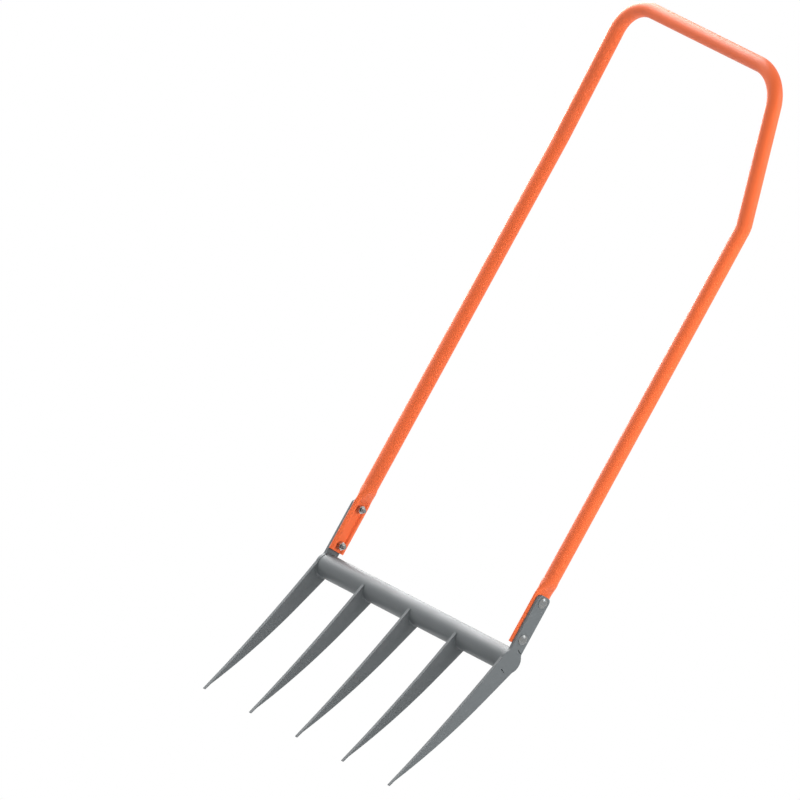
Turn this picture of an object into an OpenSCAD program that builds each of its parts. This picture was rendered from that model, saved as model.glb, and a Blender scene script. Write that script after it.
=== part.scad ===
// Broadfork. Five plate tines hang under a tube crossbar that the user steps on. One bent tube makes
// both legs and the top bar of the handle, and its flattened ends are bolted to the two side plates.
// The origin is the middle of the crossbar's axis. +X runs along the crossbar and +Z up the legs.
// The points of the tines and the top of the handle both lean to the front, which is -Y.

/* [Crossbar] */
// Outside diameter of the crossbar tube
bar_d = 42.4; // [34:0.1:60]
// Wall of the crossbar tube
bar_wall = 2; // [1.5:0.1:5]
// Width of the head over its two side plates
head_w = 500; // [400:1:700]

/* [Tines] */
// Thickness of the tines and side plates
plate_t = 6; // [4:0.5:10]
// Length of a tine, from the crossbar's axis to its point
tine_l = 304; // [200:1:400]
// Width of a tine where it leaves the crossbar
tine_w = 40.2; // [26:0.1:42]
// Lean of the tines to the front, in degrees from straight down
tine_lean = 21.65; // [0:0.05:30]
// Where the straight part of a tine's back edge ends, from the crossbar's axis
back_straight = 80; // [50:1:140]
// Depth of the hollow in a tine's front edge
front_hollow = 3.6; // [0.2:0.1:6]
// Length of the thin nose at a tine's point
nose_l = 14; // [5:0.5:30]
// Width of the nose where it starts
nose_w = 2; // [1.6:0.1:6]
// Width of the nose's blunt end
point_w = 1.2; // [1:0.1:1.6]

/* [Side plates] */
// How far the round hub of a side plate stands out past the crossbar tube
hub_rim = 0.8; // [0.4:0.1:4]
// Width of the ear that the handle is bolted to
ear_w = 29; // [22:0.5:40]
// Height of the ear's top above the crossbar's axis
ear_h = 123; // [110:1:180]
// Radius of the ear's two top corners
ear_r = 8; // [2:0.5:10]
// Radius of the hollow corners where the ear and the tine run into the hub
neck_r = 8; // [3:0.5:12]
// Length of the two slits that set out the crossbar on a side plate
slit_l = 9.4; // [5:0.1:14]
// Width of the two slits
slit_w = 1.2; // [0.8:0.1:2]
// Lean of the line through the two slits, in degrees
slit_lean = 18.4; // [0:0.1:30]

/* [Welds] */
// Leg of the fillet welds
weld_leg = 2.2; // [1.5:0.1:4]
// How much short of a plate's edge each weld stops, in degrees
weld_stop = 3; // [1:0.5:10]

/* [Handle] */
// Outside diameter of the handle tube
tube_d = 26.9; // [20:0.1:34]
// Wall of the handle tube
tube_wall = 1.8; // [1.2:0.1:3]
// Width of the flattened ends
flat_w = 37; // [34:0.5:46]
// Thickness of the flattened ends
flat_t = 8; // [7:0.5:14]
// Width of the flat band in the middle of a flattened end
flat_band = 20; // [12:0.5:26]
// Depth of the hollow that is pressed into the inner face of a flattened end, for the nuts
hollow_d = 4; // [2:0.1:4.2]
// Width of the hollow's floor
hollow_w = 16.4; // [15.6:0.1:18]
// Height of the top of the hollow's floor above the crossbar's axis
hollow_h = 121; // [119.5:0.5:123]
// Height of the lower end of the legs above the crossbar's axis
foot_h = 29; // [25:0.5:32]
// Length over which a leg changes from flat to round
press_l = 30; // [20:1:60]
// How far the round leg's axis lies outside the middle of its flattened end
leg_set = 1.2; // [0:0.1:3]
// Height of the lower bends above the crossbar's axis
leg_h = 827.6; // [600:1:1000]
// Height of the top bar's axis above the crossbar's axis
grip_h = 1082.8; // [1000:1:1300]
// Width of the top, between the points where the lines of the tube cross
grip_w = 396; // [300:1:440]
// How far the top bar stands in front of the legs
grip_set = 52; // [10:1:120]
// Radius of the lower bends, to the middle of the tube
bend_r = 55; // [30:1:100]
// Radius of the top corners, to the middle of the tube
corner_r = 67; // [35:1:90]

/* [Bolts] */
// Diameter of the four bolts
bolt_d = 8; // [6:0.5:10]
// Height of the lower bolts above the crossbar's axis
bolt_low = 41.3; // [38:0.1:50]
// Height of the upper bolts above the crossbar's axis
bolt_high = 111.3; // [80:0.1:113]
// How far a bolt's round head stands out past its shank
head_rim = 5.5; // [3:0.1:6]
// Height of the bolt head
head_h = 4.6; // [3:0.1:6]
// Height of the bolt head's upright edge
head_edge = 0.8; // [0.4:0.1:1.5]
// Depth of the square neck under the bolt head
neck_h = 4; // [2:0.1:4]
// Gap round the square neck
neck_clear = 0.2; // [0.1:0.05:0.5]
// Gap round the bolt in the handle's holes
hole_clear = 0.5; // [0.2:0.05:1]
// Wall of the nut, from the thread to a flat
nut_rim = 2.5; // [2:0.1:4]
// Height of the nut
nut_h = 8; // [4:0.1:10]
// Length of thread that stands out past the nut
bolt_end = 7; // [1:0.1:12]
// Chamfer on the bolt's end
end_chamfer = 1; // [0.3:0.1:1.5]
// Turn of the upper nuts, in degrees
nut_turn_high = 0; // [0:1:59]
// Turn of the lower nuts, in degrees
nut_turn_low = 14; // [0:1:59]

/* [Hidden] */

// Colours
head_grey = [0.42, 0.44, 0.45];
handle_orange = [0.93, 0.36, 0.16];
zinc = [0.76, 0.77, 0.78];

// Fineness of round shapes, and of a tine's long curved edges
round_fn = 96;
small_fn = 48;
edge_steps = 24;
arc_steps = 8;

// Head
bar_r = bar_d / 2;
bar_l = head_w - 2 * plate_t;
hub_r = bar_r + hub_rim;
neck_sink = 0.05;
half_tine = tine_w / 2;
inner_tines = 3;
tine_pitch = (head_w - plate_t) / (inner_tines + 1);
nose_s = tine_l - nose_l;
point_s = tine_l - point_w / 2;
slit_r = bar_r + slit_w / 2;

// Handle. The lines of the tube run up the leg, then in and forward to the top bar.
flat_x = head_w / 2 - plate_t - flat_t / 2;
leg_x = flat_x + leg_set;
round_z = ear_h + press_l;
rise = grip_h - leg_h;
narrow = leg_x - grip_w / 2;
slant_l = norm([narrow, grip_set, rise]);
bend_a = acos(rise / slant_l);
corner_a = acos(narrow / slant_l);
bend_turn = atan2(-grip_set, -narrow);
corner_turn = atan2(sin(bend_turn), -cos(bend_turn) * cos(bend_a));
bend_cut = bend_r * tan(bend_a / 2);
corner_cut = corner_r * tan(corner_a / 2);

// The bends draw a little thinner than the straight parts, whose ends taper down into them
draw = 0.2;
lap = 0.6;

// Flattened ends. Each cross section is a band with half an ellipse at both sides.
ring_n = 40;
ring_steps = 6;
flare = 1.6;
band_lift = 1 / cos(180 / ring_n);

// The hollow's sides and its upper end slope, by these distances along the face to one of depth
side_slope = 0.5;
end_slope = 1.5;
hollow_over = 6;

// Fasteners
head_d = bolt_d + 2 * head_rim;
bolt_l = plate_t + flat_t - hollow_d + nut_h + bolt_end;
nut_af = bolt_d + 2 * nut_rim;
nut_corner_r = nut_af / sqrt(3);
nut_chamfer = (nut_corner_r - nut_af / 2) * tan(30);
nut_x = head_w / 2 - plate_t - flat_t + hollow_d;
bolt_heights = [bolt_low, bolt_high];

// Draws a flat shape in the Y-Z plane, and makes it a plate of thickness t whose middle is at x
module plate(x, t = plate_t)
    translate([x - t / 2, 0, 0])
        rotate([90, 0, 90])
            linear_extrude(height = t)
                children();

// Points on an arc round c, from angle a to angle b
function arc(c, r, a, b) = [for (i = [0:arc_steps])
    let (t = a + (b - a) * i / arc_steps)
    c + r * [cos(t), sin(t)]];

// The same points for the other side of a strip, in the other order
function flipped(points) = [for (i = [len(points) - 1:-1:0]) [-points[i].x, points[i].y]];

// Depth below the hub's centre at which a hollow corner meets the straight side of a strip.
// The arc of the corner sinks a little into the hub, so that the two outlines cross.
function neck_depth(half) = sqrt(pow(hub_r + neck_r - neck_sink, 2) - pow(half + neck_r, 2));

// The hollow corner on the +x side of a strip that runs down from the hub, from the hub outward
function neck(half) =
    let (turn = atan2(neck_depth(half), half + neck_r))
    arc([half + neck_r, -neck_depth(half)], neck_r, 180 - turn, 180);

// A tine with its point down. The straight part of its back edge runs on into a shallow arc.
module tine_outline() {
    drop = half_tine - nose_w / 2;
    run = nose_s - back_straight;
    back_edge = [for (i = [0:edge_steps])
        let (t = i / edge_steps)
        [half_tine - drop * t * t, -back_straight - run * t]];
    p = [-nose_w / 2, -nose_s];
    way = [-half_tine, -neck_depth(half_tine)] - p;
    inward = [way.y, -way.x] / norm(way);
    front_edge = [for (i = [0:edge_steps - 1])
        let (t = i / edge_steps)
        p + way * t + inward * front_hollow * 4 * t * (1 - t)];
    polygon(concat([[0, 0]], neck(half_tine), back_edge, arc([0, -point_s], point_w / 2, 0, -180),
        front_edge, flipped(neck(half_tine))));
}

module leaning_tine()
    rotate(-tine_lean)
        tine_outline();

module ear_outline() {
    half = ear_w / 2;
    side = concat(neck(half), arc([half - ear_r, -ear_h + ear_r], ear_r, 0, -90));
    rotate(180)
        polygon(concat([[0, 0]], side, flipped(side)));
}

// side is -1 on the left and 1 on the right
module side_plate(side) {
    x = side * (head_w - plate_t) / 2;
    color(head_grey)
        difference() {
            union() {
                plate(x)
                    circle(r = hub_r, $fn = round_fn);
                plate(x)
                    leaning_tine();
                plate(x)
                    ear_outline();
            }
            for (turn = [0, 180])
                plate(x, plate_t + 2)
                    rotate(turn - slit_lean)
                        translate([0, -slit_r])
                            square([slit_l, slit_w], center = true);
            for (z = bolt_heights)
                plate(x, plate_t + 2)
                    translate([0, z])
                        square(bolt_d + 2 * neck_clear, center = true);
        }
}

// An inner tine, cut out to sit on the crossbar tube. place counts from the middle.
module inner_tine(place)
    color(head_grey)
        plate(place * tine_pitch)
            difference() {
                leaning_tine();
                circle(r = bar_r, $fn = round_fn);
            }

module crossbar()
    color(head_grey)
        rotate([0, 90, 0])
            difference() {
                cylinder(h = bar_l, r = bar_r, center = true, $fn = round_fn);
                cylinder(h = bar_l + 2, r = bar_r - bar_wall, center = true, $fn = round_fn);
            }

// Reach of a weld to each side of a strip's middle line, in degrees round the crossbar
function weld_reach(half) = asin(half / (bar_r + weld_leg)) - weld_stop;

// One fillet weld round the crossbar, under a strip that points down. It lies on the +X side of x.
module weld(x, lean, half) {
    reach = weld_reach(half);
    rotate([lean, 0, 0])
        translate([x, 0, 0])
            rotate([0, 90, 0])
                rotate(-reach)
                    rotate_extrude(angle = 2 * reach, $fn = round_fn)
                        polygon([[bar_r, 0], [bar_r + weld_leg, 0], [bar_r, weld_leg]]);
}

// The welds under the tine and under the ear of the left plate, or their mirror image
module plate_welds(side)
    color(head_grey)
        mirror([(1 + side) / 2, 0, 0]) {
            weld(-bar_l / 2, -tine_lean, half_tine);
            weld(-bar_l / 2, 180, ear_w / 2);
        }

module tine_welds(place)
    color(head_grey)
        translate([place * tine_pitch, 0, 0])
            for (flip = [0, 1])
                mirror([flip, 0, 0])
                    weld(plate_t / 2, -tine_lean, half_tine);

// One cross section of a flattened end, with its middle at x: a band with half an ellipse at each side
function section(z, x, band, end_w, half_t) = [for (i = [0:ring_n - 1])
    let (a = (i + 0.5) * 360 / ring_n, side = cos(a) > 0 ? 1 : -1)
    [x + half_t * sin(a), side * band / 2 + end_w * cos(a), z]];

// The section a share q of the way from flat to round, with every wall moved in by inset.
// Where it is round, it stands out past the leg by swell.
function press_section(z, q, inset, swell = draw) =
    let (
        flat_half = (flat_t / 2 - inset) * band_lift,
        flat_end = (flat_w - flat_band) / 2 - inset,
        round_half = tube_d / 2 - inset + swell)
    section(z, flat_x + leg_set * q, flat_band * (1 - q),
        flat_end + (round_half - flat_end) * q,
        flat_half + (round_half - flat_half) * pow(q, flare));

// A flattened end and the change to round, as one solid from height z_low up.
// Its round end runs down into the leg.
module pressed_end(z_low, inset) {
    press = [for (i = [0:ring_steps])
        let (q = i / ring_steps)
        press_section(ear_h + press_l * q, q, inset)];
    rings = concat([press_section(z_low, 0, inset)], press, [press_section(round_z + lap, 1, inset, -draw)]);
    last = len(rings) - 1;
    sides = [for (r = [0:last - 1], i = [0:ring_n - 1])
        let (a = r * ring_n + i, b = r * ring_n + (i + 1) % ring_n)
        each [[a, b, a + ring_n], [b, b + ring_n, a + ring_n]]];
    bottom = [for (i = [ring_n - 1:-1:0]) i];
    top = [for (i = [0:ring_n - 1]) last * ring_n + i];
    polyhedron(points = [for (ring = rings) each ring], faces = concat([bottom], sides, [top]));
}

// A bend that starts at the origin along +Z and turns to +X. Both its ends run on a little.
module elbow(r, angle, d) {
    more = atan(lap / 2 / r);
    translate([r, 0, 0])
        rotate([90, 0, 180])
            rotate(-more)
                rotate_extrude(angle = angle + 2 * more, $fn = round_fn)
                    translate([r, 0])
                        circle(d = d - 2 * draw, $fn = small_fn);
}

// Puts what follows at the end of an elbow
module past_elbow(r, angle)
    translate([r * (1 - cos(angle)), 0, r * sin(angle)])
        rotate([0, angle, 0])
            children();

// A straight part of length l that starts at the origin and runs up, with a taper past both ends
module straight(l, d)
    rotate_extrude($fn = small_fn)
        polygon([[0, -lap], [d / 2 - 2 * draw, -lap], [d / 2, 0],
            [d / 2, l], [d / 2 - 2 * draw, l + lap], [0, l + lap]]);

// The right leg from its round part up, with the lower bend, the slanted part and the top corner
module upper_leg(d) {
    leg_run = leg_h - bend_cut - round_z;
    slant_run = slant_l - bend_cut - corner_cut;
    translate([leg_x, 0, round_z]) {
        straight(leg_run, d);
        translate([0, 0, leg_run])
            rotate(bend_turn) {
                elbow(bend_r, bend_a, d);
                past_elbow(bend_r, bend_a) {
                    straight(slant_run, d);
                    translate([0, 0, slant_run])
                        rotate(corner_turn)
                            elbow(corner_r, corner_a, d);
                }
            }
    }
}

// The whole bent tube, solid, with its walls moved in by inset and its ends at z_low
module handle_form(z_low, inset) {
    d = tube_d - 2 * inset;
    grip_run = grip_w - 2 * corner_cut;
    for (side = [0, 1])
        mirror([side, 0, 0]) {
            pressed_end(z_low, inset);
            upper_leg(d);
        }
    translate([-grip_run / 2, -grip_set, grip_h])
        rotate([0, 90, 0])
            straight(grip_run, d);
}

// The space of the hollow in the right end, made deeper, and wider on all sides. It runs out
// past the leg's lower end, and past its inner face.
module press_hollow(deeper, wider) {
    run = hollow_d + deeper + hollow_over;
    half = hollow_w / 2 + wider;
    half_l = hollow_h - foot_h + wider;
    translate([nut_x + deeper, 0, foot_h])
        rotate([0, -90, 0])
            linear_extrude(height = run, scale = [1 + run * end_slope / half_l, 1 + run * side_slope / half])
                square([2 * half_l, 2 * half], center = true);
}

module handle()
    color(handle_orange)
        difference() {
            handle_form(foot_h, 0);
            difference() {
                handle_form(foot_h - 1, tube_wall);
                for (side = [0, 1])
                    mirror([side, 0, 0])
                        press_hollow(2 * tube_wall, tube_wall);
            }
            for (side = [0, 1])
                mirror([side, 0, 0])
                    press_hollow(0, 0);
            for (side = [-1, 1], z = bolt_heights)
                translate([side * flat_x, 0, z])
                    rotate([0, 90, 0])
                        cylinder(h = flat_t + 2, d = bolt_d + 2 * hole_clear, center = true,
                            $fn = small_fn);
        }

// Puts a right-hand fastener, drawn along +Z, at height z and x, or its mirror image on the left
module fastener_at(side, x, z)
    mirror([(1 - side) / 2, 0, 0])
        translate([x, 0, z])
            rotate([0, 90, 0])
                children();

module bolt(side, z) {
    dome_h = head_h - head_edge;
    dome_r = (pow(head_d / 2, 2) + pow(dome_h, 2)) / (2 * dome_h);
    color(zinc)
        fastener_at(side, head_w / 2, z) {
            intersection() {
                cylinder(h = head_h, d = head_d, $fn = small_fn);
                translate([0, 0, head_h - dome_r])
                    sphere(r = dome_r, $fn = round_fn);
            }
            translate([-bolt_d / 2, -bolt_d / 2, -neck_h])
                cube([bolt_d, bolt_d, neck_h]);
            translate([0, 0, -bolt_l + end_chamfer])
                cylinder(h = bolt_l - end_chamfer, d = bolt_d, $fn = small_fn);
            translate([0, 0, -bolt_l])
                cylinder(h = end_chamfer, d1 = bolt_d - 2 * end_chamfer, d2 = bolt_d, $fn = small_fn);
        }
}

module nut(side, z, turn)
    color(zinc)
        fastener_at(side, nut_x - nut_h, z)
            rotate(turn)
                difference() {
                    intersection() {
                        cylinder(h = nut_h, r = nut_corner_r, $fn = 6);
                        rotate_extrude($fn = small_fn)
                            polygon([[0, 0], [nut_af / 2, 0], [nut_corner_r, nut_chamfer],
                                [nut_corner_r, nut_h - nut_chamfer], [nut_af / 2, nut_h], [0, nut_h]]);
                    }
                    translate([0, 0, -1])
                        cylinder(h = nut_h + 2, d = bolt_d, $fn = small_fn);
                }

crossbar();
side_plate(-1);  // left_side_plate
side_plate(1);  // right_side_plate
inner_tine(-1);  // left_tine
inner_tine(0);  // centre_tine
inner_tine(1);  // right_tine
handle();
bolt(-1, bolt_low);  // left_lower_bolt
bolt(-1, bolt_high);  // left_upper_bolt
bolt(1, bolt_low);  // right_lower_bolt
bolt(1, bolt_high);  // right_upper_bolt
nut(-1, bolt_low, nut_turn_low);  // left_lower_nut
nut(-1, bolt_high, nut_turn_high);  // left_upper_nut
nut(1, bolt_low, nut_turn_low);  // right_lower_nut
nut(1, bolt_high, nut_turn_high);  // right_upper_nut
plate_welds(-1);  // left_plate_welds
plate_welds(1);  // right_plate_welds
tine_welds(-1);  // left_tine_welds
tine_welds(0);  // centre_tine_welds
tine_welds(1);  // right_tine_welds
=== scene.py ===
"""Dresses the broadfork: rounded plates, a pressed and bent handle, threaded bolts and weld beads.

Everything is in metres, in the frame of the CAD model. The middle of the crossbar is the origin,
+X runs along the crossbar, +Z up the legs, and the points of the tines lean to -Y.
"""

import math

import bmesh
import bpy
from bpy.props import FloatProperty, FloatVectorProperty, IntProperty, PointerProperty
from bpy.types import Operator, Panel, PropertyGroup
from mathutils import Matrix, Vector


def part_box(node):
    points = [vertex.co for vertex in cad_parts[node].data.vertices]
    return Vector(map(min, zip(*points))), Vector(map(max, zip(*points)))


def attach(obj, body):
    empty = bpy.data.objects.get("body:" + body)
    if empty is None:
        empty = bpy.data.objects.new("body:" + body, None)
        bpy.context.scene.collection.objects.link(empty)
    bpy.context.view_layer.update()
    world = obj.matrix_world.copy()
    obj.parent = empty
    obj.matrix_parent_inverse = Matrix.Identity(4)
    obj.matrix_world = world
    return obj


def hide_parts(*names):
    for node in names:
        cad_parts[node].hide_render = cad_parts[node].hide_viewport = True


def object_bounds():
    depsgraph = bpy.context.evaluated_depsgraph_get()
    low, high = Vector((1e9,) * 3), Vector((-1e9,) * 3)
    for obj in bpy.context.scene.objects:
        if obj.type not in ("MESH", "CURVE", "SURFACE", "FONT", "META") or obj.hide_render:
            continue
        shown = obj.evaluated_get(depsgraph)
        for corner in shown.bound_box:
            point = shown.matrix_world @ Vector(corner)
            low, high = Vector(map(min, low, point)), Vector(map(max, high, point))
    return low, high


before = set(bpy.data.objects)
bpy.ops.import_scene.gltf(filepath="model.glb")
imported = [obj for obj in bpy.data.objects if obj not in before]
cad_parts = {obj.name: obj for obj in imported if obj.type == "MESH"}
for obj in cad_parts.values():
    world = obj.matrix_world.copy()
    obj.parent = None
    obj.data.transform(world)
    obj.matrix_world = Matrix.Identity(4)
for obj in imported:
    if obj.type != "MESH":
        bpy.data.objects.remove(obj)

bl_info = {
    "name": "Broadfork",
    "version": (1, 0, 0),
    "blender": (4, 5, 0),
    "location": "View3D > Sidebar > Broadfork",
    "description": "Builds the dressed model of a broadfork round its CAD model",
    "category": "Object",
}

BODY = "root"
PLATES = ("left_side_plate", "right_side_plate", "left_tine", "centre_tine", "right_tine")
SIDES = {"left": -1, "right": 1}
ROWS = ("lower", "upper")

# The CAD model's box, and the places that the pieces are set out from
CAD_BOX = [list(corner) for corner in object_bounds()]
BAR_LOW, BAR_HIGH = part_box("crossbar")
HANDLE_LOW, HANDLE_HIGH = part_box("handle")

# Points nearer than this are one point
SAME_PLACE = 1e-6

# Soft lamps round the object: name, direction from the object, distance, width and watts, and
# whether gloss shows them. They face the middle between the legs, at this height.
LAMP_AIM = 0.3
LAMPS = (
    ("Upper left lamp", (-0.68, -0.24, 0.69), 3.2, 2.8, 137, True),
    ("Left lamp", (-0.87, 0.22, 0.42), 3.0, 2.4, 122, True),
    ("Right lamp", (0.97, 0.05, 0.25), 3.0, 1.6, 62, False),
    ("Upper right lamp", (0.66, 0.36, 0.66), 3.0, 1.7, 22, True),
    ("Left front lamp", (-0.68, -0.70, 0.22), 3.0, 1.8, 12, True),
    ("Right front lamp", (0.60, -0.75, 0.25), 3.0, 1.8, 16, False),
    ("Back lamp", (-0.10, 0.95, 0.30), 3.0, 2.0, 50, False),
)

# The floor lies a little under the points, reaches this far from the middle, and fades from the
# first distance to the second. Its tone is for what sees it directly, its bounce for the light
# that it throws back.
FLOOR_GAP = 0.001
FLOOR_REACH = 3.0
FLOOR_FADE = (0.7, 1.7)
FLOOR_TONE = 0.66
FLOOR_BOUNCE = 0.40


# Sizes, colours and the stage

class HandleSizes(PropertyGroup):
    """Sizes of the bent tube"""
    tube: FloatProperty(
        name="Tube", description="Outside diameter of the tube",
        default=0.0269, unit="LENGTH")
    wall: FloatProperty(
        name="Wall", description="Wall of the tube",
        default=0.0018, unit="LENGTH")
    flat_width: FloatProperty(
        name="Flat width", description="Width of the flattened ends",
        default=0.037, unit="LENGTH")
    flat_thickness: FloatProperty(
        name="Flat thickness", description="Thickness of the flattened ends",
        default=0.008, unit="LENGTH")
    flat_band: FloatProperty(
        name="Flat band", description="Width of the flat band between the rounded sides",
        default=0.020, unit="LENGTH")
    flat_x: FloatProperty(
        name="Flat offset", description="Distance of a flattened end's middle from the centre",
        default=0.240, unit="LENGTH")
    flat_top: FloatProperty(
        name="Flat top", description="Height at which the flattened ends begin to turn round",
        default=0.123, unit="LENGTH")
    press_length: FloatProperty(
        name="Press length", description="Length over which the tube turns from flat to round",
        default=0.030, unit="LENGTH")
    press_bulge: FloatProperty(
        name="Press bulge", description="How much sooner the thickness is round than the width",
        default=1.1, min=1, max=3)
    hollow_depth: FloatProperty(
        name="Hollow depth", description="Depth of the hollow pressed in for the nuts",
        default=0.004, unit="LENGTH")
    hollow_width: FloatProperty(
        name="Hollow width", description="Width of the hollow's floor",
        default=0.0164, unit="LENGTH")
    hollow_top: FloatProperty(
        name="Hollow top", description="Height of the top of the hollow's floor",
        default=0.121, unit="LENGTH")
    side_slope: FloatProperty(
        name="Side slope", description="Slope of the hollow's sides, as width to depth",
        default=0.5, min=0.1)
    end_slope: FloatProperty(
        name="End slope", description="Slope of the hollow's upper end, as length to depth",
        default=1.5, min=0.1)
    hollow_soft: FloatProperty(
        name="Hollow softness", description="How soft the hollow's edges are",
        default=0.0014, unit="LENGTH")
    leg_height: FloatProperty(
        name="Leg height", description="Height of the lower bends",
        default=0.8276, unit="LENGTH")
    top_width: FloatProperty(
        name="Top width", description="Width between the corners of the top bar",
        default=0.396, unit="LENGTH")
    bend: FloatProperty(
        name="Lower bend", description="Radius of the lower bends to the middle of the tube",
        default=0.055, unit="LENGTH")
    corner: FloatProperty(
        name="Top corner", description="Radius of the top corners to the middle of the tube",
        default=0.067, unit="LENGTH")
    steps: IntProperty(
        name="Steps", description="Points round the tube",
        default=112, min=16, max=160)


class HeadSizes(PropertyGroup):
    """Sizes of the crossbar, the plates and their welds"""
    bar_wall: FloatProperty(
        name="Bar wall", description="Wall of the crossbar tube",
        default=0.002, unit="LENGTH")
    edge_round: FloatProperty(
        name="Edge rounding", description="Rounding on the cut edges of the plates",
        default=0.00045, unit="LENGTH")
    plate: FloatProperty(
        name="Plate", description="Thickness of the plates",
        default=0.006, unit="LENGTH")
    tine_width: FloatProperty(
        name="Tine width", description="Width of a tine where it leaves the crossbar",
        default=0.0402, unit="LENGTH")
    ear_width: FloatProperty(
        name="Ear width", description="Width of the ear that the handle is bolted to",
        default=0.029, unit="LENGTH")
    tine_lean: FloatProperty(
        name="Tine lean", description="Lean of the tines to the front",
        default=math.radians(21.65), subtype="ANGLE")
    weld_leg: FloatProperty(
        name="Weld leg", description="Leg of the weld beads",
        default=0.0022, unit="LENGTH")
    weld_stop: FloatProperty(
        name="Weld stop", description="Angle by which a bead stops short of a plate's edge",
        default=math.radians(3), subtype="ANGLE")
    ripple: FloatProperty(
        name="Ripple", description="Distance between two ripples of a weld bead",
        default=0.0013, unit="LENGTH")


class BoltSizes(PropertyGroup):
    """Sizes of the bolts"""
    shank: FloatProperty(
        name="Thread", description="Outside diameter of the thread",
        default=0.008, unit="LENGTH")
    pitch: FloatProperty(
        name="Pitch", description="Distance between two turns of the thread",
        default=0.00125, unit="LENGTH")
    head: FloatProperty(
        name="Head", description="Diameter of the domed head",
        default=0.019, unit="LENGTH")
    head_height: FloatProperty(
        name="Head height", description="Height of the domed head",
        default=0.0046, unit="LENGTH")
    neck: FloatProperty(
        name="Neck", description="Depth of the square neck",
        default=0.004, unit="LENGTH")
    thread_run: FloatProperty(
        name="Thread run", description="Length of the thread, from the bolt's end",
        default=0.013, unit="LENGTH")


class Finishes(PropertyGroup):
    """Colours and surfaces"""
    head_paint: FloatVectorProperty(
        name="Head", description="Colour of the powder coat on the head",
        default=(0.130, 0.143, 0.149), size=3, min=0, max=1, subtype="COLOR")
    handle_paint: FloatVectorProperty(
        name="Handle", description="Colour of the powder coat on the handle",
        default=(0.885, 0.157, 0.045), size=3, min=0, max=1, subtype="COLOR")
    # Bolts and nuts have one zinc plate: the bolts' copy is darkened as painted shade, the nuts'
    # copy lightened as painted light, for the dimmer and brighter reflections they show
    bolt_zinc_painted_shade: FloatVectorProperty(
        name="Bolt zinc", description="Colour of the zinc plate on the bolts",
        default=(0.245, 0.25, 0.255), size=3, min=0, max=1, subtype="COLOR")
    nut_zinc_painted_light: FloatVectorProperty(
        name="Nut zinc", description="Colour of the zinc plate on the nuts",
        default=(0.46, 0.45, 0.44), size=3, min=0, max=1, subtype="COLOR")
    head_shine: FloatProperty(
        name="Head shine", description="Strength of the shine of the powder coat on the head",
        default=0.5, min=0, max=1)
    head_roughness: FloatProperty(
        name="Head roughness", description="Roughness of the powder coat on the head",
        default=0.53, min=0, max=1)
    handle_shine: FloatProperty(
        name="Handle shine", description="Strength of the shine of the powder coat on the handle",
        default=0.5, min=0, max=1)
    handle_roughness: FloatProperty(
        name="Handle roughness", description="Roughness of the powder coat on the handle",
        default=0.46, min=0, max=1)
    zinc_roughness: FloatProperty(
        name="Zinc roughness", description="Roughness of the zinc plate",
        default=0.26, min=0, max=1)


class StageSettings(PropertyGroup):
    """The camera and the lights"""
    lens: FloatProperty(
        name="Lens", description="Focal length of the long lens, in millimetres",
        default=1680, min=50)
    frame_width: FloatProperty(
        name="Frame width", description="Width of the picture at the object",
        default=1.347, unit="LENGTH")
    azimuth: FloatProperty(
        name="Azimuth", description="Turn of the camera to the right of the front",
        default=math.radians(45), subtype="ANGLE")
    elevation: FloatProperty(
        name="Elevation", description="Height of the camera over the level",
        default=math.radians(-1.5), subtype="ANGLE")
    roll: FloatProperty(
        name="Roll", description="Lean of the object to the right in the picture",
        default=math.radians(28.64), subtype="ANGLE")
    aim_right: FloatProperty(
        name="Aim right", description="Picture's centre, to the right of the origin",
        default=-0.0290, unit="LENGTH")
    aim_up: FloatProperty(
        name="Aim up", description="Picture's centre, above the origin",
        default=0.35855, unit="LENGTH")
    room: FloatProperty(
        name="Room light", description="Strength of the even light from all round",
        default=0.01, min=0)
    lamps: FloatProperty(
        name="Lamps", description="Share of their full power that the lamps burn at",
        default=1.0, min=0)


SETTINGS = {
    "fork_handle": HandleSizes,
    "fork_head": HeadSizes,
    "fork_bolt": BoltSizes,
    "fork_finish": Finishes,
    "fork_stage": StageSettings,
}


# Shader maths

class Wire:
    """An output socket that takes part in sums, so that shader maths reads as Python."""

    def __init__(self, shader, socket):
        self.shader = shader
        self.socket = socket

    def maths(self, operation, *values):
        """A Math node on sockets or numbers"""
        inputs = dict(enumerate(values))
        return self.shader.node("ShaderNodeMath", {"operation": operation}, inputs)

    def __add__(self, other):
        return self.maths("ADD", self, other)

    def __radd__(self, other):
        return self.maths("ADD", other, self)

    def __mul__(self, other):
        return self.maths("MULTIPLY", self, other)

    def __rmul__(self, other):
        return self.maths("MULTIPLY", other, self)

    def or_more(self, other):
        """The larger of two values"""
        return self.maths("MAXIMUM", self, other)


class Shader:
    """The nodes of a material or a world, under construction."""

    def __init__(self, owner):
        owner.use_nodes = True
        self.tree = owner.node_tree
        self.tree.nodes.clear()

    def node(self, kind, settings=None, inputs=None, output=0):
        """Adds a node. Its settings go in first, then the values or links of its sockets."""
        made = self.tree.nodes.new(kind)
        for key, value in (settings or {}).items():
            setattr(made, key, value)
        for key, value in (inputs or {}).items():
            if isinstance(value, Wire):
                self.tree.links.new(value.socket, made.inputs[key])
            else:
                made.inputs[key].default_value = value
        return Wire(self, made.outputs[output]) if made.outputs else None

    def seen_directly(self):
        """Gives 1 to rays of the camera, gloss and glass, and 0 to the light that spreads"""
        camera, gloss, glass = (self.node("ShaderNodeLightPath", output=name) for name in
                                ("Is Camera Ray", "Is Glossy Ray", "Is Transmission Ray"))
        return camera.or_more(gloss).or_more(glass)


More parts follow.
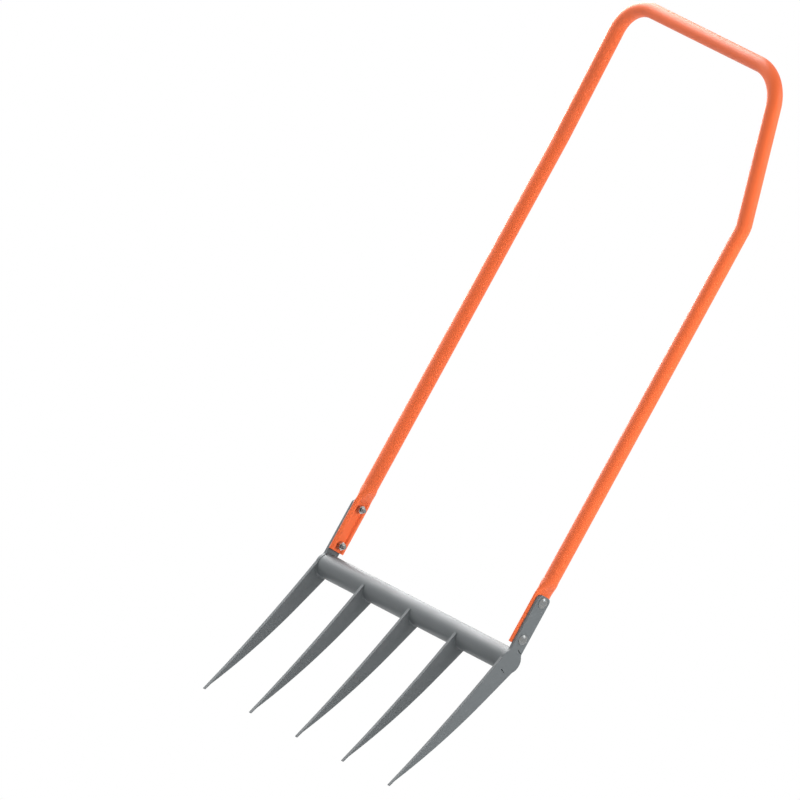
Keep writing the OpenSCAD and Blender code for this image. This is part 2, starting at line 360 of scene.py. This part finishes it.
class Finish(Shader):
    """A material of one Principled shader and the nodes that feed it."""

    def __init__(self, name):
        self.material = bpy.data.materials.new(name)
        super().__init__(self.material)
        self.place = self.node("ShaderNodeTexCoord", output="Object")

    def cover(self, **values):
        """Ends the nodes with the Principled shader. An underscore in a name is for a space."""
        inputs = {key.replace("_", " "): value for key, value in values.items()}
        surface = self.node("ShaderNodeBsdfPrincipled", inputs=inputs)
        self.node("ShaderNodeOutputMaterial", inputs={"Surface": surface})
        return self.material

    def noise(self, scale, detail=2.0, roughness=0.5, stretch=None):
        """Noise in the object's own space, in grains to the metre"""
        place = self.place
        if stretch:
            place = self.node("ShaderNodeMapping", inputs={0: place, "Scale": stretch})
        return self.node("ShaderNodeTexNoise", inputs={
            "Vector": place, "Scale": scale, "Detail": detail, "Roughness": roughness})

    def spread(self, wire, low, high):
        """A value that runs from low to high as a noise runs over its usual range"""
        inputs = {"Value": wire, "From Min": 0.3, "From Max": 0.7, "To Min": low, "To Max": high}
        return self.node("ShaderNodeMapRange", inputs=inputs)

    def mix(self, share, first, second):
        """Mixes two colours by a share"""
        inputs = {0: share, 6: first, 7: second}
        return self.node("ShaderNodeMix", {"data_type": "RGBA"}, inputs, output=2)

    def bump(self, height, strength, distance):
        """A normal that leans with a height"""
        inputs = {"Height": height, "Strength": strength, "Distance": distance}
        return self.node("ShaderNodeBump", inputs=inputs)


def solid(colour):
    """A colour with full cover, as a socket takes it"""
    return (*colour, 1.0)


def shade(colour, factor):
    """A colour made lighter or darker"""
    return solid([min(1.0, part * factor) for part in colour])


def powder_coat(name, colour, roughness, shine):
    """Satin powder coat: a faint orange peel, and slow changes of tone and gloss"""
    coat = Finish(name)
    tone = coat.spread(coat.noise(9.0, detail=3.0), 0.0, 1.0)
    body = coat.mix(tone, shade(colour, 0.955), shade(colour, 1.045))
    skin = coat.bump(coat.noise(520.0, detail=1.0), 0.05, 0.0002)
    drift = 0.03
    gloss = coat.spread(coat.noise(30.0, detail=2.0), roughness - drift, roughness + drift)
    return coat.cover(Base_Color=body, Roughness=gloss, Normal=skin, Specular_IOR_Level=shine)


def zinc_plate(name, colour, roughness):
    """Bright zinc: fine drawing lines, and a faint warm and cool drift in the plating"""
    plate = Finish(name)
    drift = plate.spread(plate.noise(260.0, detail=2.0), 0.0, 1.0)
    red, green, blue = colour
    warm = solid([red * 1.02, green, blue * 0.92])
    cool = solid([red * 0.95, green * 0.99, blue * 1.03])
    blot = plate.spread(plate.noise(700.0, detail=3.0), 0.0, 0.2)
    tinted = plate.mix(blot, plate.mix(drift, warm, cool), shade(colour, 0.74))
    gloss = plate.spread(plate.noise(480.0, detail=3.0), roughness - 0.05, roughness + 0.07)
    lines = plate.noise(900.0, detail=3.0, stretch=(6.0, 1.0, 1.0))
    skin = plate.bump(lines, 0.12, 0.00006)
    return plate.cover(Base_Color=tinted, Metallic=1.0, Roughness=gloss, Normal=skin)


def finish_for(name):
    """A material by its name, made once"""
    ready = bpy.data.materials.get(name)
    if ready:
        return ready
    chosen = bpy.context.scene.fork_finish
    if name == "head_paint_coat":
        return powder_coat(name, chosen.head_paint, chosen.head_roughness, chosen.head_shine)
    if name == "handle_paint_coat":
        return powder_coat(name, chosen.handle_paint, chosen.handle_roughness, chosen.handle_shine)
    # Lit and shaded copies of one zinc: the nuts' is painted lighter, the bolts' painted darker
    if name == "nut_zinc_plate":
        return zinc_plate(name, chosen.nut_zinc_painted_light, chosen.zinc_roughness)
    return zinc_plate(name, chosen.bolt_zinc_painted_shade, chosen.zinc_roughness)


FINISH_OF_SLOT = {
    "head_paint": "head_paint_coat",
    "handle_paint": "handle_paint_coat",
    "zinc": "zinc_plate",
}


# Building pieces

def add_piece(name, mesh_work, slot, node, crease=math.radians(32)):
    """Turns finished bmesh work into a piece that rides on the body and stands for its node"""
    if any(len(edge.link_faces) < 2 for edge in mesh_work.edges):
        raise RuntimeError(f"{name} isn't closed")
    for face in mesh_work.faces:
        face.smooth = True
    for edge in mesh_work.edges:
        edge.smooth = len(edge.link_faces) == 2 and edge.calc_face_angle() < crease
    mesh = bpy.data.meshes.new(name)
    mesh_work.to_mesh(mesh)
    mesh_work.free()
    piece = bpy.data.objects.new(name, mesh)
    bpy.context.scene.collection.objects.link(piece)
    mesh.materials.append(finish_for(FINISH_OF_SLOT[slot]))
    even = piece.modifiers.new("Even shading", "WEIGHTED_NORMAL")
    even.mode = "FACE_AREA_WITH_ANGLE"
    even.keep_sharp = True
    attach(piece, BODY)
    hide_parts(node)


def turn_right_side_out(mesh_work):
    """Merges doubled points, and turns the faces outwards"""
    bmesh.ops.remove_doubles(mesh_work, verts=mesh_work.verts, dist=SAME_PLACE)
    bmesh.ops.recalc_face_normals(mesh_work, faces=mesh_work.faces)


def push_ring(mesh_work, ring, step):
    """Extrudes a ring of edges along a step, and gives the new ring"""
    grown = bmesh.ops.extrude_edge_only(mesh_work, edges=ring)["geom"]
    moved = [part for part in grown if isinstance(part, bmesh.types.BMVert)]
    bmesh.ops.translate(mesh_work, verts=moved, vec=step)
    return [part for part in grown if isinstance(part, bmesh.types.BMEdge)
            and part.verts[0] in moved and part.verts[1] in moved]


def ring_points(ring):
    """The points of a ring of edges"""
    return list(dict.fromkeys(vert for edge in ring for vert in edge.verts))


def rounded_plate(node, edge_round):
    """A copy of a CAD plate, with its triangles joined and its cut edges rounded"""
    plate = bmesh.new()
    plate.from_mesh(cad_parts[node].data)
    bmesh.ops.remove_doubles(plate, verts=plate.verts, dist=2 * SAME_PLACE)
    bmesh.ops.dissolve_limit(plate, angle_limit=math.radians(0.2), use_dissolve_boundaries=False,
                             verts=plate.verts, edges=plate.edges)
    rims = [edge for edge in plate.edges
            if len(edge.link_faces) == 2 and edge.calc_face_angle() > math.radians(60)
            and any(abs(face.normal.x) > 0.99 for face in edge.link_faces)]
    if not rims:
        raise RuntimeError(f"{node} has no cut edges")
    bmesh.ops.bevel(plate, geom=rims, offset=edge_round, offset_type="OFFSET", segments=2,
                    profile=0.5, affect="EDGES", clamp_overlap=False, material=-1)
    return plate


class FORK_OT_plates(Operator):
    """Rounds the cut edges of the side plates and the inner tines"""
    bl_idname = "fork.plates"
    bl_label = "Plates and tines"

    def execute(self, context):
        sizes = context.scene.fork_head
        for node in PLATES:
            plate = rounded_plate(node, sizes.edge_round)
            add_piece(node + "_coated", plate, "head_paint", node)
        return {"FINISHED"}


class FORK_OT_crossbar(Operator):
    """Draws the crossbar tube with its wall"""
    bl_idname = "fork.crossbar"
    bl_label = "Crossbar"

    def execute(self, context):
        sizes = context.scene.fork_head
        tube = bmesh.new()
        bmesh.ops.create_circle(tube, segments=128, radius=BAR_HIGH.z, cap_ends=False)
        bmesh.ops.rotate(tube, verts=tube.verts, matrix=Matrix.Rotation(math.pi / 2, 3, "Y"))
        bmesh.ops.translate(tube, verts=tube.verts, vec=(BAR_LOW.x, 0, 0))
        push_ring(tube, list(tube.edges), (BAR_HIGH.x - BAR_LOW.x, 0, 0))
        turn_right_side_out(tube)
        bmesh.ops.solidify(tube, geom=tube.faces, thickness=sizes.bar_wall)
        add_piece("crossbar_coated", tube, "head_paint", "crossbar")
        return {"FINISHED"}


def outline_point(turn, band, across, through):
    """Place at a share of a turn round a section: a band, with half an ellipse at both sides"""
    quarter = int(turn * 4)
    share = turn * 4 - quarter
    if quarter % 2:
        share = 1 - share
    end = math.pi / 4 * (across + through)
    way = share * (end + band / 2)
    if way < end:
        angle = way / end * math.pi / 2
        x, y = through * math.sin(angle), band / 2 + across * math.cos(angle)
    else:
        x, y = through, band / 2 - (way - end)
    return (x if quarter < 2 else -x), (y if quarter in (0, 3) else -y)


def soft_max(first, second, soft):
    """The larger of two values, with a soft change from one to the other"""
    near = max(0.0, soft - abs(first - second)) / soft
    return max(first, second) + near * near * soft / 4


def pressed_point(turn, share, height, sizes):
    """Place on a leg's cross section, a share of the way from flat to round. The hollow for the
    nuts is pressed into the inner face."""
    flat_end = (sizes.flat_width - sizes.flat_band) / 2
    round_half = sizes.tube / 2
    across = flat_end + (round_half - flat_end) * share
    rise = min(1.0, share * sizes.press_bulge)
    rise = rise * rise * (3 - 2 * rise)
    half = sizes.flat_thickness / 2
    through = half + (round_half - half) * rise
    x, y = outline_point(turn, sizes.flat_band * (1 - share), across, through)
    if x < 0:
        climb = soft_max((abs(y) - sizes.hollow_width / 2) / sizes.side_slope,
                         (height - sizes.hollow_top) / sizes.end_slope, sizes.hollow_soft)
        climb = soft_max(0.0, climb, sizes.hollow_soft)
        x = soft_max(x, sizes.hollow_depth - half - climb, sizes.hollow_soft)
    return x, y


def half_handle(sizes, leg_x, grip):
    """The right half of the tube as an open skin, from its flattened end to the top bar's middle"""
    skin = bmesh.new()
    low = HANDLE_LOW.z
    round_z = sizes.flat_top + sizes.press_length

    # Each point keeps its share of a turn round the tube, and is pressed into place by it
    turns = skin.verts.layers.float.new("turn")

    def press(ring, share):
        middle = sizes.flat_x + (leg_x - sizes.flat_x) * share
        for point in ring_points(ring):
            x, y = pressed_point(point[turns], share, point.co.z, sizes)
            point.co.x = middle + x
            point.co.y = y

    bmesh.ops.create_circle(skin, segments=sizes.steps, radius=sizes.tube / 2, cap_ends=False)
    half_step = math.pi / sizes.steps
    bmesh.ops.rotate(skin, verts=skin.verts, matrix=Matrix.Rotation(half_step, 3, "Z"))
    for point in skin.verts:
        point[turns] = math.atan2(point.co.x, point.co.y) / math.tau % 1.0
    ring = list(skin.edges)
    bmesh.ops.translate(skin, verts=skin.verts, vec=(0, 0, low))
    press(ring, 0)

    # Close rings over the upper end of the hollow, and over the turn from flat to round
    hollow_steps = 8
    hollow_run = 0.008
    ring = push_ring(skin, ring, (0, 0, sizes.flat_top - hollow_run - low))
    press(ring, 0)
    for step in range(hollow_steps):
        ring = push_ring(skin, ring, (0, 0, hollow_run / hollow_steps))
        press(ring, 0)
    press_steps = 28
    for step in range(1, press_steps + 1):
        ring = push_ring(skin, ring, (0, 0, sizes.press_length / press_steps))
        press(ring, step / press_steps)

    # The lines of the tube: up the leg, in and forward along the slant, and across the top
    foot = Vector((leg_x, 0, round_z))
    knee = Vector((leg_x, 0, sizes.leg_height))
    shoulder = Vector((sizes.top_width / 2, grip.y, grip.z))
    middle = Vector((0, grip.y, grip.z))
    bend_steps = 14
    corner_steps = 40
    bends = ((knee, sizes.bend, bend_steps), (shoulder, sizes.corner, corner_steps))
    at = foot
    for (corner, radius, steps), target in zip(bends, (shoulder, middle)):
        way_in = (corner - at).normalized()
        way_out = (target - corner).normalized()
        turn = way_in.angle(way_out)
        cut = radius * math.tan(turn / 2)
        axis = way_in.cross(way_out).normalized()
        inward = axis.cross(way_in)
        start = corner - way_in * cut
        ring = push_ring(skin, ring, start - at)
        made = bmesh.ops.spin(skin, geom=ring + ring_points(ring), cent=start + inward * radius,
                              axis=axis, angle=turn, steps=steps, use_duplicate=False)
        ring = [part for part in made["geom_last"] if isinstance(part, bmesh.types.BMEdge)]
        at = corner + way_out * cut
    push_ring(skin, ring, middle - at)
    return skin


class FORK_OT_handle(Operator):
    """Presses and bends the handle from one tube"""
    bl_idname = "fork.handle"
    bl_label = "Handle"

    def execute(self, context):
        sizes = context.scene.fork_handle
        radius = sizes.tube / 2
        leg_x = HANDLE_HIGH.x - radius
        grip = Vector((0, HANDLE_LOW.y + radius, HANDLE_HIGH.z - radius))
        skin = half_handle(sizes, leg_x, grip)
        bmesh.ops.mirror(skin, geom=skin.verts[:] + skin.edges[:] + skin.faces[:],
                         matrix=Matrix.Identity(4), merge_dist=10 * SAME_PLACE, axis="X")
        turn_right_side_out(skin)
        bmesh.ops.solidify(skin, geom=skin.faces, thickness=sizes.wall)
        add_piece("handle_coated", skin, "handle_paint", "handle")
        return {"FINISHED"}


def spin_profile(mesh_work, profile, steps=48):
    """Turns a profile of (radius, height) points about the Z axis into a closed form"""
    earlier = set(mesh_work.verts)
    points = [mesh_work.verts.new((radius, 0, height)) for radius, height in profile]
    lines = [mesh_work.edges.new(pair) for pair in zip(points, points[1:])]
    bmesh.ops.spin(mesh_work, geom=points + lines, cent=(0, 0, 0), axis=(0, 0, 1),
                   angle=math.tau, steps=steps, use_merge=True, use_duplicate=False)
    turned = [vert for vert in mesh_work.verts if vert not in earlier]
    bmesh.ops.remove_doubles(mesh_work, verts=turned, dist=SAME_PLACE)


def domed_head(bolt, sizes):
    """The head's dome with a soft rim, over a flat underside"""
    rim = sizes.head / 2
    edge = 0.0008
    soft = 0.00025
    steps = 10
    rise = sizes.head_height - edge
    ball = (rim ** 2 + rise ** 2) / (2 * rise)
    middle = sizes.head_height - ball
    reach = math.asin(rim / ball)

    # Down the dome, over its soft shoulder, down the rim and back to the axis
    angles = [reach * step / steps for step in range(1, steps)]
    dome = [(ball * math.sin(angle), middle + ball * math.cos(angle)) for angle in angles]
    shoulder = [(rim - soft * 0.4, edge + soft * 0.25), (rim, edge - soft * 0.6)]
    underside = [(rim, soft), (rim - soft, 0.0), (0.0, 0.0)]
    spin_profile(bolt, [(0.0, sizes.head_height)] + dome + shoulder + underside)


def square_neck(bolt, sizes):
    """The square neck under the head, with rounded edges"""
    into_head = 1e-5
    rounding = 0.0004
    made = bmesh.ops.create_cube(bolt, size=1.0)
    bmesh.ops.scale(bolt, verts=made["verts"], vec=(sizes.shank, sizes.shank, sizes.neck))
    bmesh.ops.translate(bolt, verts=made["verts"], vec=(0, 0, into_head - sizes.neck / 2))
    edges = list(dict.fromkeys(edge for vert in made["verts"] for edge in vert.link_edges))
    bmesh.ops.bevel(bolt, geom=edges, offset=rounding, offset_type="OFFSET", segments=2,
                    profile=0.5, affect="EDGES", material=-1)


def threaded_shank(bolt, sizes, end):
    """The shank from under the head to its end, with a rolled thread that runs out in a chamfer"""
    pitch = sizes.pitch
    crest = sizes.shank / 2
    depth = 0.61 * pitch
    root = crest - depth
    start = end + sizes.thread_run
    chamfer = 0.0011

    # The plain shank starts inside the neck, and tapers to the thread's root
    plain = crest - 0.0001
    top = -0.0005
    taper_top = start + 0.0002
    taper_end = start - 0.0004
    spin_profile(bolt, [(0, top), (plain, top), (plain, taper_top), (root, taper_end),
                        (0, taper_end)])

    # The thread's section, from root to crest and back, climbs round the axis
    thread = bmesh.new()
    section = [(root, 0.0), (root, 0.1), (crest, 0.49), (crest, 0.61), (root, 1.0)]
    low = end - pitch
    points = [thread.verts.new((radius, 0, low + share * pitch)) for radius, share in section]
    lines = [thread.edges.new(pair) for pair in zip(points, points[1:])]
    turns = int(sizes.thread_run / pitch) + 2
    around = 32
    bmesh.ops.spin(thread, geom=points + lines, cent=(0, 0, 0), axis=(0, 0, 1),
                   dvec=(0, 0, pitch / around), angle=math.tau * turns, steps=around * turns,
                   use_duplicate=False)
    bmesh.ops.remove_doubles(thread, verts=thread.verts, dist=SAME_PLACE)
    for height, way in ((end, -1), (start, 1)):
        geom = thread.verts[:] + thread.edges[:] + thread.faces[:]
        cut = bmesh.ops.bisect_plane(thread, geom=geom, plane_co=(0, 0, height),
                                     plane_no=(0, 0, way), clear_outer=True, dist=1e-7)
        rim = [part for part in cut["geom_cut"] if isinstance(part, bmesh.types.BMEdge)]
        bmesh.ops.holes_fill(thread, edges=rim, sides=0)
    for point in thread.verts:
        widest = crest - max(0.0, chamfer - (point.co.z - end))
        radius = math.hypot(point.co.x, point.co.y)
        if radius > widest:
            point.co.x *= widest / radius
            point.co.y *= widest / radius
    carrier = bpy.data.meshes.new("thread")
    thread.to_mesh(carrier)
    thread.free()
    bolt.from_mesh(carrier)
    bpy.data.meshes.remove(carrier)


class FORK_OT_bolts(Operator):
    """Makes the bolts, with domed heads, square necks and rolled threads"""
    bl_idname = "fork.bolts"
    bl_label = "Bolts"

    def execute(self, context):
        sizes = context.scene.fork_bolt
        for side, sign in SIDES.items():
            for row in ROWS:
                node = f"{side}_{row}_bolt"
                low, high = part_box(node)
                head_top, point = (high.x, low.x) if sign > 0 else (-low.x, -high.x)
                seat = head_top - sizes.head_height
                bolt = bmesh.new()
                domed_head(bolt, sizes)
                square_neck(bolt, sizes)
                threaded_shank(bolt, sizes, point - seat)
                to_side = Matrix.Rotation(math.pi / 2 * sign, 4, "Y")
                place = Matrix.Translation((seat * sign, 0, (low.z + high.z) / 2)) @ to_side
                bmesh.ops.transform(bolt, matrix=place, verts=bolt.verts)
                bmesh.ops.recalc_face_normals(bolt, faces=bolt.faces)
                add_piece(node + "_plated", bolt, "zinc", node)
        return {"FINISHED"}


class FORK_OT_nuts(Operator):
    """Gives the nuts their zinc plate, a copy painted lighter than the bolts' zinc as painted
    reflection
    """
    bl_idname = "fork.nuts"
    bl_label = "Nuts"

    def execute(self, context):
        for side in SIDES:
            for row in ROWS:
                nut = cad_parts[f"{side}_{row}_nut"]
                if not nut.material_slots:
                    raise RuntimeError(f"{nut.name} has no material slot")
                for slot in nut.material_slots:
                    slot.material = finish_for("nut_zinc_plate")
        return {"FINISHED"}


def bead(mesh_work, lean, half, sizes):
    """One weld bead against the plane x = 0, on its +X side, under a strip that points down"""
    radius = BAR_HIGH.z
    leg = sizes.weld_leg
    reach = math.asin(half / (radius + leg)) - sizes.weld_stop
    bulge = 0.16
    sink = 1e-4
    root_sink = 4e-4
    profile = []
    profile_steps = 8
    for step in range(profile_steps + 1):
        share = step / profile_steps
        swell = bulge * leg * math.sin(math.pi * share)
        profile.append((leg * share + swell - sink, radius + leg * (1 - share) + swell - sink))
    profile.append((-sink, radius - root_sink))
    points = [mesh_work.verts.new((out, 0, -depth)) for out, depth in profile]
    lines = [mesh_work.edges.new(pair) for pair in zip(points, points[1:] + points[:1])]
    bmesh.ops.rotate(mesh_work, verts=points, matrix=Matrix.Rotation(lean - reach, 3, "X"))
    bmesh.ops.spin(mesh_work, geom=points + lines, cent=(0, 0, 0), axis=(1, 0, 0), angle=2 * reach,
                   steps=180, use_duplicate=False)
    ends = [edge for edge in mesh_work.edges if len(edge.link_faces) == 1]
    bmesh.ops.holes_fill(mesh_work, edges=ends, sides=0)

    # Ripples bow back along the bead, and the bead shrinks towards both ends
    ripple_depth = 0.045
    ripple_bow = 0.35
    end_share = 0.45
    end_run = 0.0022
    root = Vector((0, radius + leg * 0.25))
    for point in mesh_work.verts:
        turn = math.atan2(point.co.y, -point.co.z) + lean
        along = turn * radius
        side = math.hypot(point.co.y, point.co.z)
        out = Vector((point.co.x, side))
        height = (out - root).length / leg
        size = 1 + ripple_depth * math.cos(math.tau * (along / sizes.ripple - ripple_bow * height))
        near_end = max(0.0, (reach - abs(turn)) * radius)
        size *= min(1.0, end_share + (1 - end_share) * math.sqrt(near_end / end_run))
        out = root + (out - root) * size
        point.co.x = out.x
        point.co.y *= out.y / side
        point.co.z *= out.y / side


def bead_mesh(lean, half, sizes, place):
    """A bead at its place, as a mesh of its own"""
    work = bmesh.new()
    bead(work, lean, half, sizes)
    bmesh.ops.transform(work, matrix=place, verts=work.verts)
    bmesh.ops.recalc_face_normals(work, faces=work.faces)
    mesh = bpy.data.meshes.new("bead")
    work.to_mesh(mesh)
    work.free()
    return mesh


def add_welds(node, beads):
    """Joins the beads of one plate in one piece"""
    work = bmesh.new()
    for mesh in beads:
        work.from_mesh(mesh)
        bpy.data.meshes.remove(mesh)
    add_piece(node + "_beads", work, "head_paint", node, crease=math.radians(60))


class FORK_OT_welds(Operator):
    """Lays the weld beads between the crossbar and the plates"""
    bl_idname = "fork.welds"
    bl_label = "Welds"

    def execute(self, context):
        sizes = context.scene.fork_head
        flip = Matrix.Scale(-1, 4, (1, 0, 0))
        for side, sign in SIDES.items():
            place = Matrix.Translation((BAR_LOW.x, 0, 0))
            if sign > 0:
                place = flip @ place
            beads = [bead_mesh(lean, half / 2, sizes, place) for lean, half in
                     ((-sizes.tine_lean, sizes.tine_width), (math.pi, sizes.ear_width))]
            add_welds(f"{side}_plate_welds", beads)
        for name in ("left_tine", "centre_tine", "right_tine"):
            low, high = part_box(name)
            middle = Matrix.Translation(((low.x + high.x) / 2, 0, 0))
            out = Matrix.Translation((sizes.plate / 2, 0, 0))
            beads = [bead_mesh(-sizes.tine_lean, sizes.tine_width / 2, sizes, middle @ way @ out)
                     for way in (Matrix.Identity(4), flip)]
            add_welds(name + "_welds", beads)
        return {"FINISHED"}


# Stage

def add_lamp(name, direction, distance, width, watts, in_gloss):
    """A round soft lamp that faces the object"""
    light = bpy.data.lights.new(name, "AREA")
    light.shape = "DISK"
    light.size = width
    light.energy = watts
    light.cycles.use_multiple_importance_sampling = in_gloss
    lamp = bpy.data.objects.new(name, light)
    direction = Vector(direction).normalized()
    facing = direction.to_track_quat("Z", "Y").to_matrix().to_4x4()
    place = Vector((0, 0, LAMP_AIM)) + direction * distance
    lamp.matrix_world = Matrix.Translation(place) @ facing
    lamp.visible_glossy = in_gloss
    bpy.context.scene.collection.objects.link(lamp)


def set_room_light(strength):
    """An even white light from all round. The camera, gloss and glass see it as plain white."""
    world = bpy.data.worlds.new("Room")
    bpy.context.scene.world = world
    room = Shader(world)
    level = strength + room.seen_directly() * (1 - strength)
    white = solid((1, 1, 1))
    sky = room.node("ShaderNodeBackground", inputs={"Color": white, "Strength": level})
    room.node("ShaderNodeOutputWorld", inputs={"Surface": sky})


def floor_material():
    """Pale matt floor that throws back little light, and fades into the white round it. From
    below it is clear, because the photographed view looks very slightly up."""
    material = bpy.data.materials.new("Floor")
    paint = Shader(material)
    seen = paint.seen_directly()
    tone = FLOOR_BOUNCE + seen * (FLOOR_TONE - FLOOR_BOUNCE)
    matt = paint.node("ShaderNodeBsdfDiffuse", inputs={"Color": tone})
    clear = paint.node("ShaderNodeBsdfTransparent")
    place = paint.node("ShaderNodeTexCoord", output="Object")
    reach = paint.node("ShaderNodeVectorMath", {"operation": "LENGTH"}, {0: place}, output="Value")
    fade_start, fade_end = FLOOR_FADE
    fade = paint.node("ShaderNodeMapRange", {"interpolation_type": "SMOOTHSTEP"},
                      {"Value": reach, "From Min": fade_start, "From Max": fade_end})
    underside = paint.node("ShaderNodeNewGeometry", output="Backfacing")
    gone = underside.or_more(fade * seen)
    mixed = paint.node("ShaderNodeMixShader", inputs={0: gone, 1: matt, 2: clear})
    paint.node("ShaderNodeOutputMaterial", inputs={"Surface": mixed})
    return material


def add_floor():
    """The floor just under the points of the tines"""
    grid = bmesh.new()
    bmesh.ops.create_grid(grid, x_segments=1, y_segments=1, size=FLOOR_REACH)
    bmesh.ops.translate(grid, verts=grid.verts, vec=(0, 0, CAD_BOX[0][2] - FLOOR_GAP))
    mesh = bpy.data.meshes.new("Floor")
    grid.to_mesh(mesh)
    grid.free()
    mesh.materials.append(floor_material())
    floor = bpy.data.objects.new("Floor", mesh)
    bpy.context.scene.collection.objects.link(floor)


def add_camera(stage):
    """A long lens in the photographed direction, with the object leaning in the picture"""
    towards = Vector((math.sin(stage.azimuth), -math.cos(stage.azimuth), 0))
    right = Vector((math.cos(stage.azimuth), math.sin(stage.azimuth), 0))
    back = towards * math.cos(stage.elevation) + Vector((0, 0, math.sin(stage.elevation)))
    up = back.cross(right)
    cos_roll, sin_roll = math.cos(stage.roll), math.sin(stage.roll)
    right, up = right * cos_roll + up * sin_roll, up * cos_roll - right * sin_roll
    lens = bpy.data.cameras.new("Camera")
    lens.lens = stage.lens
    distance = stage.frame_width * stage.lens / lens.sensor_width
    lens.clip_start = distance / 10
    lens.clip_end = distance * 4
    camera = bpy.data.objects.new("Camera", lens)
    aim = right * stage.aim_right + up * stage.aim_up
    axes = Matrix((right, up, back)).transposed().to_4x4()
    camera.matrix_world = Matrix.Translation(aim + back * distance) @ axes
    bpy.context.scene.collection.objects.link(camera)
    bpy.context.scene.camera = camera


class FORK_OT_stage(Operator):
    """Sets up the camera, the floor and the lights"""
    bl_idname = "fork.stage"
    bl_label = "Stage"

    def execute(self, context):
        stage = context.scene.fork_stage
        context.scene.view_settings.view_transform = "Standard"
        add_camera(stage)
        add_floor()
        set_room_light(stage.room)
        for name, direction, distance, width, watts, in_gloss in LAMPS:
            add_lamp(name, direction, distance, width, watts * stage.lamps, in_gloss)
        return {"FINISHED"}


class FORK_PT_panel(Panel):
    """The parts of the broadfork, in the order in which they are built"""
    bl_idname = "FORK_PT_panel"
    bl_label = "Broadfork"
    bl_space_type = "VIEW_3D"
    bl_region_type = "UI"
    bl_category = "Broadfork"

    def draw(self, context):
        for step in STEPS:
            self.layout.operator(step.bl_idname)
        for key, group in SETTINGS.items():
            box = self.layout.box()
            settings = getattr(context.scene, key)
            for name in group.__annotations__:
                box.prop(settings, name)


STEPS = (FORK_OT_stage, FORK_OT_crossbar, FORK_OT_plates, FORK_OT_handle, FORK_OT_bolts,
         FORK_OT_nuts, FORK_OT_welds)


def register():
    for group in SETTINGS.values():
        bpy.utils.register_class(group)
    for key, group in SETTINGS.items():
        setattr(bpy.types.Scene, key, PointerProperty(type=group))
    for step in STEPS:
        bpy.utils.register_class(step)
    bpy.utils.register_class(FORK_PT_panel)


def unregister():
    bpy.utils.unregister_class(FORK_PT_panel)
    for step in reversed(STEPS):
        bpy.utils.unregister_class(step)
    for key, group in SETTINGS.items():
        delattr(bpy.types.Scene, key)
        bpy.utils.unregister_class(group)


def main():
    register()
    bpy.ops.fork.stage()
    bpy.ops.fork.crossbar()
    bpy.ops.fork.plates()
    bpy.ops.fork.handle()
    bpy.ops.fork.bolts()
    bpy.ops.fork.nuts()
    bpy.ops.fork.welds()


if __name__ == "__main__":
    main()
